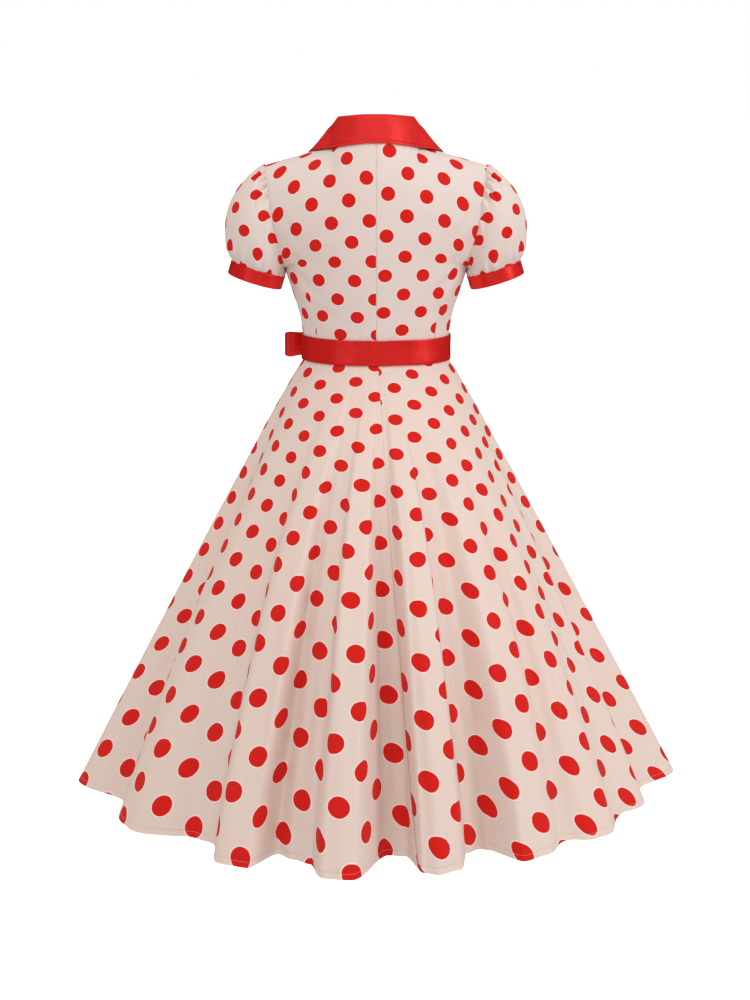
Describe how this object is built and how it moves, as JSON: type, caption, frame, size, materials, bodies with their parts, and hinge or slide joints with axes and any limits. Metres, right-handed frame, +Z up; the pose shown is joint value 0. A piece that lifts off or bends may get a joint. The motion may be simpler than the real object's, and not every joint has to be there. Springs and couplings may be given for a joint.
{
  "type": "a-line dress",
  "caption": "Hollow worn form of a tea-length flared dress with short puffed sleeves, satin collar and cuffs, and a satin sash tied in a bow; held up by the wearer's shoulders.",
  "frame": {"origin": "middle of the neck opening at the level where the wearer's shoulders hold the dress", "axes": "+Z up, the front of the dress faces -Y, the wearer's left is +X"},
  "size_m": [1.0661, 0.9529, 1.1672],
  "materials": {
    "dotted_cloth": "matt plain-weave cotton blend, cream with round red dots",
    "red_satin": "red satin with a soft sheen"
  },
  "bodies": {
    "root": {"bodice_back_left": "dotted_cloth", "bodice_back_right": "dotted_cloth", "bodice_front": "dotted_cloth", "collar": "red_satin", "sleeve_left": "dotted_cloth", "sleeve_right": "dotted_cloth", "cuff_left": "red_satin", "cuff_right": "red_satin", "skirt_back_left": "dotted_cloth", "skirt_back_right": "dotted_cloth", "skirt_front": "dotted_cloth", "belt": "red_satin", "bow_knot": "red_satin", "bow_loop_left": "red_satin", "bow_loop_right": "red_satin", "bow_tail_left": "red_satin", "bow_tail_right": "red_satin"}
  },
  "joints": []
}
